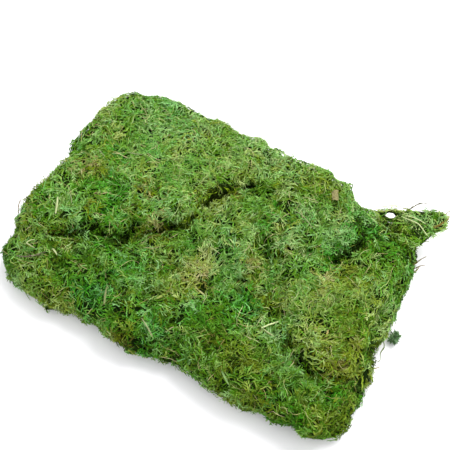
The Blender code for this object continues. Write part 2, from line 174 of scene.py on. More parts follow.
# How shoots are drawn.
SEED = 7
TRIES = 400000              # places tried at a time
WALL = (0.3, 0.85)          # steep where the way out rises by less than this, to not steep
ROOT_DEPTHS = (1.6, 3.2)
RISE_POINTS = (0.0, 0.35, 0.7, 1.0)
RISE_SHARES = (0.0, 0.8, 1.0, 0.65)     # a shoot's height at these points of its length
WOBBLE = 0.25               # how much a shoot turns at random at each of its points
LEAN = 0.62                 # how much leaves roll at random about their shoot
TWIST = 0.8
LEAF_WIDE, LEAF_NARROW = 1.45, 0.55     # edges zigzag between these shares of the width
LEAF_FORWARD = 0.5          # wide places point forward by this share of a step
BRANCHLET_POINTS = (0.0, 0.36, 0.72, 1.0)
BRANCHLET_LENGTHS = (2.2, 4.6)
BRANCHLET_WIDTHS = (0.62, 0.98)
BRANCHLET_ANGLES = (0.7, 1.15)

# Shade of a shoot, from 0 to 1, and what makes shoots differ: painted light and shade, and their own
# brightness.
MEAN_SHADE = 0.585
LAYER_PAINTED_SHADE_AND_AGE = 0.36          # from the lowest shoots to the highest: painted shade deep in the mat, and older moss
OWN_SHADE = 0.10
TUFT_SHADE = 0.14           # from tuft to tuft
PAINTED_CREASE_SHADE = 0.04         # painted shade: darker for each millimetre that a crease is deep
DRIFT_SHADE = 0.05
PAINTED_WALL_SHADE = 0.08           # painted shade: share by which steep sides are darker
PAINTED_SUNK_SHADE = 0.97           # painted shade: share by which the bottom of a crevice is darker
TIP_PAINTED_LIGHT_AND_DRYING = 0.25            # lighter from a shoot's root to its tip: painted light on the raised tips, and paler dry tips

# Hue along the moss ramp, from blue-green at 0 over bright green to brown at 1.
DEEP, VIVID, YELLOW, OLIVE, TAN, BROWN = 0.08, 0.26, 0.54, 0.66, 0.86, 0.95
MEAN_HUE = 0.415
SUNK_HUE = 0.45             # hue that crevices drift to, along with their painted shade
PATCH_PULL = 0.42           # how far a patch draws the moss to its own hue

# Patches of one hue in the mat: place, radius.
PATCHES = {
    VIVID: (
        (-86, 41, 14), (-124, 56, 12), (-95, 75, 15), (-110, 16, 8), (-32, -68, 12),
        (24, -49, 8), (49, -44, 12), (52, -6, 9), (119, -75, 11), (104, -89, 9), (11, -7, 10),
        (90, 80, 9), (46, -109, 11), (133, 106, 10),
    ),
    DEEP: (
        (-88, -18, 12), (-94, -33, 8), (-60, -89, 12), (-102, -3, 9), (120, 63, 12),
        (43, -42, 12), (90, 36, 9), (-88, -93, 11), (-2, -97, 13), (134, -71, 11),
    ),
    YELLOW: (
        (8, -51, 9), (13, -72, 8), (59, -71, 9), (72, -14, 12), (130, 17, 8), (99, -48, 9),
        (105, 40, 8), (-133, -74, 8), (68, -104, 8),
    ),
    OLIVE: (
        (-11, -37, 16), (-14, -58, 11), (66, -83, 11), (105, 16, 14), (99, 25, 8),
        (-77, -107, 12),
    ),
    TAN: (
        (-128, 30, 6), (-73, 9, 8), (-104, -34, 5), (-57, 80, 5), (127, -50, 8), (32, -11, 7),
        (39, 28, 7),
    ),
    BROWN: (
        (-130, -3, 7), (-66, -1, 6), (-53, -19, 7), (-110, -65, 5), (6, -40, 9), (33, -81, 7),
        (89, 2, 7), (109, -34, 7), (-18, -112, 8), (108, 76, 5), (141, 105, 3),
    ),
}

# Areas that drift to greener (negative) or to yellower moss: place, radius, change of hue.
HUE_AREAS = (
    (21, -96, 24, -0.15), (-4, -64, 28, -0.10), (-33, -43, 20, -0.08), (51, 17, 28, -0.08),
    (30, -72, 22, -0.08), (58, -28, 22, -0.07), (-101, 35, 26, -0.08), (-112, 80, 26, -0.08),
    (-121, -104, 24, -0.08), (24, 52, 30, -0.07), (78, 6, 20, -0.06), (96, -105, 16, 0.14),
    (142, 1, 14, 0.08), (-150, -35, 12, 0.08), (-46, -113, 9, 0.08), (-69, -81, 20, -0.08),
    (117, 48, 26, -0.09), (95, 58, 19, -0.08), (-70, 87, 19, -0.07), (-95, -73, 18, -0.05),
    (73, -94, 16, -0.06), (-140, 55, 18, -0.05), (-36, -54, 20, -0.04), (21, 10, 18, -0.05),
    (86, 10, 16, -0.05), (-140, -79, 18, -0.05), (42, -110, 8, 0.08), (107, -102, 12, 0.06),
)

UV_MAP = "OFBake"

# Pieces of moss: the sheet that each lies on, and from where to where along X.
PIECES = {
    "base_shoots_left": (BASE, -400, -45),
    "base_shoots_middle": (BASE, -45, 50),
    "base_shoots_right": (BASE, 50, 400),
    "back_shoots_left": (BACK, -400, -85),
    "back_shoots_right": (BACK, -85, 400),
    "right_shoots": (RIGHT, -400, 400),
    "scrap_shoots": (SCRAP, -400, 400),
    "tuft_shoots": (TUFT, -400, 400),
}

# How much of the green dye each sheet has kept; the loose tuft is the dullest.
SHEET_DYES = {"base_sheet": 0.96, "back_sheet": 1.0, "right_sheet": 0.98,
              "corner_scrap": 1.02, "loose_tuft": 0.6}


def linear(hexadecimal):
    """Linear colour with alpha from an sRGB hex value."""
    parts = [int(hexadecimal[at:at + 2], 16) / 255.0 for at in (0, 2, 4)]
    parts = [p / 12.92 if p <= 0.04045 else ((p + 0.055) / 1.055) ** 2.4 for p in parts]
    return (*parts, 1.0)


def add_node(tree, kind, links=None, stops=(), **settings):
    """Add a node, or take the one that has this name, and set it up.

    Settings are properties or input values, links feed its inputs, stops colour its ramp.
    """
    made = tree.nodes.get(kind) or tree.nodes.new(kind)
    for name, value in settings.items():
        if hasattr(made, name):
            setattr(made, name, value)
        else:
            made.inputs[name.replace("_", " ")].default_value = value
    for socket, source in (links or {}).items():
        tree.links.new(source, made.inputs[socket])
    if stops:
        elements = made.color_ramp.elements
        elements.remove(elements[1])
        elements[0].position, elements[0].color = stops[0][0], linear(stops[0][1])
        for position, colour in stops[1:]:
            elements.new(position).color = linear(colour)
    return made


def new_finish(name):
    """A new material and its node tree."""
    finish = bpy.data.materials.new(name)
    finish.use_nodes = True
    return finish, finish.node_tree


def put_in_scene(name, data):
    """An object of the scene with its data: a mesh, a light or a camera."""
    made = bpy.data.objects.new(name, data)
    bpy.context.scene.collection.objects.link(made)
    return made


def place_piece(name, mesh, finish, node=None):
    """Put a mesh in the scene as a piece, instead of its CAD node if it has one."""
    mesh.shade_smooth()
    mesh.materials.append(finish)
    piece = put_in_scene(name, mesh)
    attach(piece, ROOT)
    if node:
        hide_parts(node)


def place_body(name, body, finish, node):
    """Put a bmesh in the scene as a piece, instead of its CAD node."""
    mesh = bpy.data.meshes.new(name)
    body.to_mesh(mesh)
    body.free()
    place_piece(name, mesh, finish, node)


def cad_places(node):
    """Corners of a CAD node's mesh, in millimetres."""
    return np.array([vert.co[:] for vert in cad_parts[node].data.vertices]) / MM


# --------------------------------------------------------------------- numbers

def unit(vectors):
    """Vectors of length one."""
    return vectors / np.maximum(np.linalg.norm(vectors, axis=-1, keepdims=True), 1e-9)


def smooth_step(low, high, value):
    """Rise smoothly from 0 at low to 1 at high."""
    t = np.clip((value - low) / (high - low), 0.0, 1.0)
    return t * t * (3.0 - 2.0 * t)


def blend(field, low, share):
    """Values of a field between its points: past the low ones by a share of a step."""
    total = 0.0
    for corner in np.ndindex(2, 2, 2):
        weight = np.prod(np.where(corner, share, 1.0 - share), axis=-1)
        x, y, z = np.moveaxis((low + corner) % field.shape[:3], -1, 0)
        value = field[x, y, z]
        total = total + (weight[..., None] if value.ndim > weight.ndim else weight) * value
    return total


class SoftNoise:
    """Smooth random values from about -1 to 1, with one wavelength."""

    LATTICE = 64

    def __init__(self, wavelength, seed, values=1):
        self.wavelength = wavelength
        draws = np.random.default_rng(seed)
        self.lattice = draws.uniform(-1.6, 1.6, (self.LATTICE,) * 3 + (values,))

    def __call__(self, places):
        scaled = np.asarray(places, float) / self.wavelength + self.LATTICE
        low = np.floor(scaled).astype(int)
        share = scaled - low
        total = blend(self.lattice, low, share * share * (3.0 - 2.0 * share))
        return total[..., 0] if total.shape[-1] == 1 else total


crease_noises = [SoftNoise(size, 34 + k) for k, (size, _, _) in enumerate(CREASES)]
crevice_noise = SoftNoise(5.0, 37)
crease_gate = SoftNoise(22.0, 38)
heading_noise = SoftNoise(24.0, 51, 3)
fine_heading_noise = SoftNoise(9.0, 52, 3)
hue_noise = SoftNoise(17.0, 53)
broad_hue_noise = SoftNoise(48.0, 54)
shade_noise = SoftNoise(8.0, 55)
age_noise = SoftNoise(30.0, 56)
tuft_noise = SoftNoise(4.6, 57, 2)


def distance_to_line(x, y, points):
    """Distance from places to a line of points, seen from above."""
    nearest = np.full(np.shape(x), np.inf)
    for (ax, ay), (bx, by) in zip(points, points[1:]):
        along = ((x - ax) * (bx - ax) + (y - ay) * (by - ay)) / ((bx - ax) ** 2 + (by - ay) ** 2)
        along = np.clip(along, 0.0, 1.0)
        away = np.hypot(x - ax - along * (bx - ax), y - ay - along * (by - ay))
        nearest = np.minimum(nearest, away)
    return nearest


def crevice_distance(x, y):
    """Distance to the nearest open crevice, as a share of how far it stays open and its painted shade
    reaches.
    """
    return np.min([distance_to_line(x, y, line) / wide for wide, line in CREVICES], axis=0)


def closeness(x, y, spot, full, none, stretch=1.0):
    """How close places lie to a spot: 1 within a share of its radius, 0 past another."""
    away = np.hypot(x - spot[0], y - spot[1]) / (spot[2] * stretch)
    return 1.0 - smooth_step(full, none, away)


def hollow_share(x, y):
    """How far places lie in one of the small dark hollows, from 0 to 1."""
    share = np.zeros(np.shape(x))
    for spot in HOLLOWS:
        share = np.maximum(share, closeness(x, y, spot, 0.4, 1.5))
    return share


def roughness(places):
    """How rough the moss is at places: its contrasts and creases, about one on average."""
    level = np.ones(len(places))
    for *spot, change in ROUGH_AREAS:
        level = level + change * closeness(places[:, 0], places[:, 1], spot, 0.3, 1.5)
    return np.clip(level, 0.5, 1.9)


def creased(places):
    """How deep places lie in the creases between tufts, in millimetres."""
    gate = smooth_step(-0.5, 0.4, crease_gate(places))
    depth = 0.0
    for noise, (_, width, deep) in zip(crease_noises, CREASES):
        depth = depth + deep * np.exp(-(noise(places) / width) ** 2)
    return depth * gate


# --------------------------------------------------------- the shape of the mat

class SheetShape:
    """A CAD sheet: its reach and its search tree, in millimetres."""

    def __init__(self, name):
        self.name = name
        places = cad_places(name)
        faces = [face.vertices[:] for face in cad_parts[name].data.polygons]
        self.tree = BVHTree.FromPolygons(places.tolist(), faces)
        self.low, self.high = places.min(axis=0), places.max(axis=0)

    def crossings(self, x, y):
        """Heights at which a plumb line through a spot meets the sheet's surface."""
        heights = []
        down = Vector((0.0, 0.0, -1.0))
        hit = self.tree.ray_cast(Vector((x, y, 2.0 * GRID_TOP)), down)[0]
        while hit is not None:
            heights.append(hit.z)
            hit = self.tree.ray_cast(hit + 0.001 * down, down)[0]
        return np.array(heights)

    def distances(self, places, reach):
        """Signed distances of a grid of places from the sheet's surface, negative inside."""
        found = np.full(places.shape[:3], reach)
        near = ((places > self.low - reach) & (places < self.high + reach)).all(axis=-1)
        for i, j in np.argwhere(near.any(axis=2)):
            above = self.crossings(*places[i, j, 0, :2])[:, None] > places[i, j, :, 2]
            within = above.sum(axis=0) % 2 == 1
            for k in np.flatnonzero(near[i, j]):
                place = Vector(places[i, j, k])
                foot, normal, _, away = self.tree.find_nearest(place)
                inside = within[k] and (place - foot).dot(normal) < 0.0
                found[i, j, k] = -away if inside else away
        return found


class MatShape:
    """The whole mat as distances on a grid, for shoots that follow its surface."""

    def __init__(self, sheets):
        low = np.min([sheet.low for sheet in sheets], axis=0) - GRID_MARGIN
        high = np.max([sheet.high for sheet in sheets], axis=0) + GRID_MARGIN
        low[2], high[2] = GRID_FLOOR, GRID_TOP
        self.low = low
        self.counts = np.ceil((high - low) / GRID_STEP).astype(int) + 1
        axes = [low[i] + GRID_STEP * np.arange(self.counts[i]) for i in range(3)]
        x, y, z = np.meshgrid(*axes, indexing="ij")
        places = np.stack([x, y, z], axis=-1)
        each = [sheet.distances(places, GRID_MARGIN) for sheet in sheets]
        self.each = np.stack(each, axis=-1)
        places = places.reshape(-1, 3)
        solid = self.each.min(axis=-1)
        self.top = self.highest(solid, axes[2])
        gap = self.blur(np.minimum(solid, self.bridge(axes, z)))
        clumps = sum(size * SoftNoise(wave, 31 + k)(places) for k, (wave, size) in enumerate(CLUMPS))
        thin = smooth_step(0.0, 6.0, self.each[..., :THICK_SHEETS].min(axis=-1))
        gap = gap + (CLUMP_SINK + clumps.reshape(self.counts)) * (1.0 - 0.9 * thin)
        creases = creased(places) * np.minimum(roughness(places), 1.1)
        creases = creases.reshape(self.counts) * (1.0 - 0.9 * thin)
        self.gap = gap + HOLLOW_DEPTH * hollow_share(x, y) + creases
        self.slope = np.stack(np.gradient(self.gap, GRID_STEP), axis=-1)

    @staticmethod
    def highest(solid, levels):
        """Height of the topmost surface over each spot, very low beside the mat."""
        inside = solid < 0.0
        top = len(levels) - 1 - np.argmax(inside[:, :, ::-1], axis=2)
        top = np.clip(top, 0, len(levels) - 2)
        rows, columns = np.indices(top.shape)
        below = solid[rows, columns, top]
        above = solid[rows, columns, top + 1]
        height = levels[top] + GRID_STEP * below / (below - above - 1e-9)
        return np.where(inside.any(axis=2), height, levels[0])

    @staticmethod
    def blur(field):
        """Even out the facets of the CAD surface."""
        for axis in range(3):
            before = np.concatenate([field.take([0], axis), field], axis)
            after = np.concatenate([field, field.take([-1], axis)], axis)
            keep = [slice(None)] * 3
            drop = [slice(None)] * 3
            keep[axis] = slice(0, -1)
            drop[axis] = slice(1, None)
            field = 0.25 * before[tuple(keep)] + 0.5 * field + 0.25 * after[tuple(drop)]
        return field

    def bridge(self, axes, z):
        """Distance field of the shoots that bridge the joints between sheets."""
        cells = int(round(BRIDGE_RADIUS / GRID_STEP))
        shifts = [(i, j) for i in range(-cells, cells + 1) for j in range(-cells, cells + 1)
                  if i * i + j * j <= cells * cells + 1]
        wide = np.max([np.roll(self.top, shift, (0, 1)) for shift in shifts], axis=0)
        closed = np.min([np.roll(wide, shift, (0, 1)) for shift in shifts], axis=0)
        self.closed = np.repeat(closed[:, :, None], 2, axis=2)
        x, y = np.meshgrid(axes[0], axes[1], indexing="ij")
        away = crevice_distance(x, y)
        away = away + CREVICE_RAGGED * crevice_noise(np.stack([x, y, 0.0 * x], axis=-1))
        shut = smooth_step(*OPEN_SHARE, away)
        for spot_x, spot_y, radius in OPEN_SPOTS:
            shut = shut * smooth_step(radius * 0.6, radius * 1.3, np.hypot(x - spot_x, y - spot_y))
        depth = closed - self.top
        level = self.top + depth * smooth_step(BRIDGE_FROM, BRIDGE_FULL, depth) * shut
        bridged = level > self.top + BRIDGED_BY
        edges = [(i, j) for i, j in shifts if i * i + j * j <= (JOINT_EDGE / GRID_STEP) ** 2]
        joint = np.max([np.roll(bridged, shift, (0, 1)) for shift in edges], axis=0) & (shut > 0.9)
        within = self.each[..., BASE].min(axis=2) < -BRIDGE_INSET
        filled = (bridged | joint) & (self.top > BRIDGE_LOWEST) & within
        return np.where(filled[:, :, None], z - level[:, :, None], GRID_MARGIN)

    def read(self, field, places):
        """Values of a field of the grid at places between its points."""
        at = np.clip((places - self.low) / GRID_STEP, 0.0, np.array(field.shape[:3]) - 1.001)
        low = at.astype(int)
        return blend(field, low, at - low)

    def feel(self, places):
        """How far places are outside the surface, and the way out of it."""
        return self.read(self.gap, places), unit(self.read(self.slope, places))

    def sunk(self, places):
        """How deep places lie in a crevice, an open spot or a small hollow, from 0 to 1: the share of
        their painted shade.
        """
        x, y = places[:, 0], places[:, 1]
        away = crevice_distance(x, y)
        for spot_x, spot_y, radius in OPEN_SPOTS:
            away = np.minimum(away, np.hypot(x - spot_x, y - spot_y) / (1.6 * radius))
        flat = places.copy()
        flat[:, 2] = self.low[2]
        depth = self.read(self.closed, flat) - places[:, 2]
        crevice = smooth_step(0.8, 4.5, depth) * (1.0 - smooth_step(0.45, 1.1, away))
        return np.maximum(crevice, 0.7 * hollow_share(x, y))

    def owner(self, places):
        """Number of the sheet that each place lies on or next to."""
        return self.read(self.each, places).argmin(axis=-1)


sheets = [SheetShape(name) for name in SHEETS]
mat = MatShape(sheets)


def scatter(count, draws):
    """Places spread evenly over the mat's surface, with the way out at each."""
    high = mat.low + GRID_STEP * (mat.counts - 1)
    kept = []
    while sum(len(part) for part in kept) < count:
        tries = draws.uniform(mat.low, high, (TRIES, 3))
        kept.append(tries[np.abs(mat.read(mat.gap, tries)) < SURFACE_BAND])
    places = np.concatenate(kept)[:count]
    for _ in range(3):
        gap, out = mat.feel(places)
        places = places - gap[:, None] * out
    return places, mat.feel(places)[1]


def moss_hue(places, draws):
    """Hue along the moss ramp at places: drifting greens, with patches of their own."""
    x, y = places[:, 0], places[:, 1]
    hue = MEAN_HUE + 0.05 * broad_hue_noise(places) + 0.08 * hue_noise(places)
    ragged = 1.0 + 0.45 * shade_noise(places + 40.0)
    for patch_hue, spots in PATCHES.items():
        for spot in spots:
            share = closeness(x, y, spot, 0.45, 1.25, ragged)
            hue = hue + PATCH_PULL * share * (patch_hue - hue)
    for *spot, change in HUE_AREAS:
        hue = hue + change * closeness(x, y, spot, 0.2, 1.4)
    hue = hue + 0.06 * tuft_noise(places)[:, 1]
    return hue + draws.normal(0.0, 0.02, len(places))


def light_and_tone(places):
    """Brightness of the mat at places, about one on average: painted light and shade across the mat,
    with areas of painted light and shade and of the moss's own colour.
    """
    x, y = places[:, 0], places[:, 1]
    ways, levels = zip(*PAINTED_LIGHT_NEAR_TO_FAR)
    level = np.interp(y, ways, levels) * (1.0 + PAINTED_LIGHT_LEFT_TO_RIGHT * x / RIGHT_END)
    ragged = 1.0 + 0.35 * shade_noise(places + 80.0)
    for *spot, change in LIGHT_AND_TONE_AREAS:
        level = level * (1.0 + change * closeness(x, y, spot, 0.35, 1.3, ragged))
    return level


class Shoots:
    """Many shoots of one kind: their centre lines, ways out, widths, hues and shades."""

    def __init__(self, lines, out, width, hue, shade, owner, taper):
        self.lines, self.out, self.width = lines, out, width
        self.hue, self.shade, self.owner = hue, shade, owner
        self.taper = taper

    def take(self, chosen):
        """The chosen ones of these shoots."""
        parts = (self.lines, self.out, self.width, self.hue, self.shade, self.owner)
        return Shoots(*(part[chosen] for part in parts), self.taper)


def keep_level(lines):
    """Bend what rises over the highest shoots level, and keep shoots off the ground."""
    over = np.maximum(lines[..., 2] - HIGHEST_SHOOT, 0.0)
    level = lines[..., 2] - over + 2.5 * np.tanh(over / 4.0)
    lines[..., 2] = np.maximum(level, LOWEST_SHOOT)


def clear_of_hole(lines):
    """Which shoots leave the see-through hole of the scrap open."""
    drop = HOLE_TOP - lines[..., 2]
    x = lines[..., 0] - HOLE_CENTRE[0] - HOLE_LEAN[0] * drop
    y = lines[..., 1] - HOLE_CENTRE[1] - HOLE_LEAN[1] * drop
    turned_x = x * np.cos(HOLE_TURN) + y * np.sin(HOLE_TURN)
    turned_y = y * np.cos(HOLE_TURN) - x * np.sin(HOLE_TURN)
    return (np.hypot(turned_x / HOLE_RADII[0], turned_y / HOLE_RADII[1]) > 1.0).all(axis=-1)


def follow_surface(start, heading, length, curl, profile, draws):
    """Centre lines that follow the mat, at the heights of a profile over its surface."""
    count, stations = profile.shape
    step = (length / (stations - 1))[:, None]
    lines = np.empty((count, stations, 3))
    outs = np.empty((count, stations, 3))
    here = start
    for k in range(stations):
        gap, out = mat.feel(here)
        move = np.clip(profile[:, k] - gap, -1.4 * step[:, 0], 1.4 * step[:, 0])
        if k == 0:
            move = profile[:, 0] - gap
        here = here + move[:, None] * out
        lines[:, k], outs[:, k] = here, out
        heading = unit(heading - (heading * out).sum(axis=1, keepdims=True) * out)
        turn = curl / (stations - 1) + draws.normal(0.0, WOBBLE, count)
        side = np.cross(out, heading)
        heading = heading * np.cos(turn)[:, None] + side * np.sin(turn)[:, None]
        here = here + heading * step
    keep_level(lines)
    return lines, outs


def moss_strands(draws, count, stations, lengths, widths, heights, curl, lie, hue_shift=0.0):
    """Curled leafy strands on the whole mat.

    Heights are those of their highest points over the surface, lie is how much
    neighbours run the same way.
    """
    start, out = scatter(count, draws)
    up = out[:, 2]
    keep = (start[:, 2] > LOWEST_FOOT) & (up > STEEPEST_FOOT)
    start, out = start[keep], out[keep]
    count = len(start)
    wall = 1.0 - smooth_step(*WALL, out[:, 2])
    heading = lie * (heading_noise(start) + 0.8 * fine_heading_noise(start))
    heading = heading + (1.0 - lie) * 1.6 * draws.normal(0.0, 1.0, (count, 3))
    heading[:, 2] -= 0.9 * wall
    right_side = wall * smooth_step(0.2, 0.8, out[:, 0])
    heading[:, 1] -= 1.3 * right_side
    length = draws.uniform(*lengths, count)
    layer = draws.uniform(0.0, 1.0, count)
    low, high = heights
    peak = low + (high - low) * layer ** 0.8
    along = np.linspace(0.0, 1.0, stations)
    rise = np.interp(along, RISE_POINTS, RISE_SHARES)
    root = -draws.uniform(*ROOT_DEPTHS, count)
    lift = draws.normal(0.0, 0.7, count)
    profile = root[:, None] + (peak - root)[:, None] * rise + lift[:, None] * along ** 2
    turn = draws.normal(0.0, curl, count)
    lines, outs = follow_surface(start, heading, length, turn, profile, draws)
    hue = moss_hue(start, draws) + hue_shift
    old = smooth_step(0.0, 0.9, age_noise(start) + draws.normal(0.0, 0.5, count))
    hue = hue + (1.0 - layer) * old * draws.uniform(0.0, 0.12, count)
    # Lower shoots are darker with painted shade and age, shoots in creases with painted shade; the
    # rest varies at random.
    uneven = LAYER_PAINTED_SHADE_AND_AGE * (layer - 0.5) + draws.normal(0.0, OWN_SHADE, count)
    uneven = uneven + TUFT_SHADE * tuft_noise(start)[:, 0] - PAINTED_CREASE_SHADE * creased(start)
    shade = MEAN_SHADE + roughness(start) * uneven + DRIFT_SHADE * shade_noise(start)
    # Painted shade on steep sides, and painted light and shade across the mat.
    shade = shade * (1.0 - PAINTED_WALL_SHADE * wall) * light_and_tone(start)
    # Painted shade deep in crevices and hollows, where the hue drifts as well.
    sunk = mat.sunk(start)
    hue = hue + sunk * (SUNK_HUE - hue) * draws.uniform(0.0, 0.8, count)
    shade = shade * (1.0 - PAINTED_SUNK_SHADE * sunk)
    width = draws.uniform(*widths, count)
    made = Shoots(lines, outs, width, hue, shade, mat.owner(start), "leafy")
    return made.take(mat.read(mat.gap, lines).max(axis=1) < STRAY_LIMIT)


def side_branchlets(stems, draws):
    """Short branchlets on both sides of feathered stems, shorter towards the tip."""
    lines, outs = stems.lines, stems.out
    count, stations = lines.shape[:2]
    tangent = unit(np.gradient(lines, axis=1))
    made = []
    for k in range(1, stations - 1):
        for side_sign in (-1.0, 1.0):
            half = 0.5 * (side_sign > 0)
            base = lines[:, k] * (1 - half) + lines[:, k + 1] * half
            out = outs[:, k]
            side = side_sign * np.cross(out, tangent[:, k])
            angle = draws.uniform(*BRANCHLET_ANGLES, count)[:, None]
            aim = tangent[:, k] * np.cos(angle) + side * np.sin(angle)
            aim = unit(aim + out * draws.normal(0.05, 0.32, count)[:, None])
            swell = np.sin(np.pi * (0.12 + 0.78 * (k + half) / (stations - 1)))
            length = (draws.uniform(*BRANCHLET_LENGTHS, count) * swell)[:, None]
            bend = tangent[:, k] * 0.8 - side * 0.35 - out * draws.uniform(-0.2, 0.5, count)[:, None]
            line = np.stack(
                [base + length * (t * aim + 0.35 * t * t * bend) for t in BRANCHLET_POINTS], 1
            )
            keep_level(line)
            part_out = unit(out + 0.45 * draws.normal(0.0, 1.0, (count, 3)))
            shade = stems.shade + draws.normal(0.05, 0.07, count)
            hue = stems.hue + draws.normal(-0.02, 0.025, count)
            part_outs = np.repeat(part_out[:, None], len(BRANCHLET_POINTS), axis=1)
            width = draws.uniform(*BRANCHLET_WIDTHS, count)
            made.append(Shoots(line, part_outs, width, hue, shade, stems.owner, "leaf"))
    return made


# Single strands that stand out from the mat: points, width, hue, shade.
LOOSE_ENDS = (
    (((148, -3, 14), (151, -5, 9), (150, -10, 7), (153, -14, 4), (151, -16, 2.5)), 0.6, 0.5, 0.3),
    (((148, -29, 8), (151.5, -25, 8.5), (155, -21, 8)), 0.9, 0.80, 0.45),
    (((138, 68, 13), (141, 72, 14), (143, 77, 15), (146, 81, 16)), 0.8, 0.80, 0.32),
    (((139, 64, 12), (142, 68, 13), (145, 72, 14), (148, 75, 13)), 0.7, 0.84, 0.28),
    (((140, 58, 11), (142, 63, 12), (144, 67, 13), (144, 71, 14)), 0.7, 0.78, 0.30),
    (((134, 81, 25), (137, 84, 25), (140, 88, 25), (143, 88.5, 25)), 0.6, 0.60, 0.30),
    (((-117, -110, 6), (-112, -113, 3), (-107, -115, 1)), 0.5, 0.45, 0.5),
    (((-148, -69, 36), (-152, -64, 37), (-154, -58, 38)), 0.7, 0.86, 0.35),
    (((140, 100, 29), (145, 107, 31), (147, 113, 31), (146, 118, 30)), 0.9, 0.86, 0.35),
    (((141, 112, 30), (144, 118, 31), (145, 123, 31)), 0.6, 0.80, 0.35),
    (((94, 91, 31.5), (99, 90, 32.5), (104, 95, 33), (110, 98, 33), (115, 98, 32)), 0.55, 0.6, 0.9),
    (((96, 94, 31.5), (103, 99, 33), (110, 102, 33), (116, 103, 32)), 0.5, 0.62, 0.85),
)
LOOSE_STATIONS = 14
TUFT_STATIONS = 6


def loose_ends(draws):
    """The strands that stand out, each with two thinner ones that stray beside it."""
    lines, widths, hues, shades = [], [], [], []
    for points, width, hue, shade in LOOSE_ENDS:
        route = np.array(points, float)
        steps = np.linspace(0.0, len(route) - 1.0, LOOSE_STATIONS)
        line = np.stack([np.interp(steps, range(len(route)), route[:, i]) for i in range(3)], 1)
        line[1:-1] = 0.25 * line[:-2] + 0.5 * line[1:-1] + 0.25 * line[2:]
        for copy, share in ((0, 1.0), (1, 0.6), (2, 0.6)):
            stray = draws.normal(0.0, 0.5, (2, 3)) * (copy > 0)
            along = np.linspace(0.0, 1.0, LOOSE_STATIONS)[:, None]
            lines.append(line + stray[0] * (1.0 - along) + stray[1] * along)
            widths.append(width * share)
            hues.append(hue + draws.normal(0.0, 0.03))
            shades.append(shade + draws.normal(0.0, 0.05))
    lines = np.array(lines)
    outs = np.broadcast_to((0.0, 0.0, 1.0), lines.shape).copy()
    return Shoots(lines, outs, np.array(widths), np.array(hues), np.array(shades),
                  mat.owner(lines[:, 0]), "thread")


def tuft_strands(count, draws):
    """Short leafy strands of the loose tuft, spreading from its middle."""
    low, high = sheets[TUFT].low + 1.8, sheets[TUFT].high - 2.4
    middle = (low + high) / 2.0
    start = draws.uniform(low, high, (count, 3))
    aim = unit(0.35 * (start - middle) + draws.normal(0.0, 1.0, (count, 3)) * (1.0, 1.0, 0.5))
    bend = unit(draws.normal(0.0, 1.0, (count, 3)))
    length = draws.uniform(1.6, 3.6, count)[:, None, None]
    along = np.linspace(0.0, 1.0, TUFT_STATIONS)[None, :, None]
    lines = start[:, None] + length * (along * aim[:, None] + 0.35 * along**2 * bend[:, None])
    keep_level(lines)
    outs = unit(np.cross(aim, bend) + (0.0, 0.0, 0.6))
    outs = np.repeat(outs[:, None], TUFT_STATIONS, axis=1)
    # Painted light: the tuft's upper strands are lighter than its lower ones.
    shade = 0.42 + 0.2 * (start[:, 2] - middle[2]) / (high[2] - low[2])
    shade = shade + draws.normal(0, 0.1, count)
    width = draws.uniform(0.5, 0.9, count)
    hue = draws.normal(0.28, 0.07, count)
    return Shoots(lines, outs, width, hue, shade, np.full(count, TUFT), "leafy")


# Width along a shoot as shares of its widest place, from root to just before its tip.
RIBBON_ENDS = {
    "leafy": ((0.0, 0.2, 0.6, 0.9), (0.45, 0.95, 1.0, 0.55)),
    "leaf": ((0.0, 0.4, 0.72), (0.35, 1.0, 0.75)),
    "thread": ((0.0, 0.5, 0.9), (0.8, 1.0, 0.6)),
}


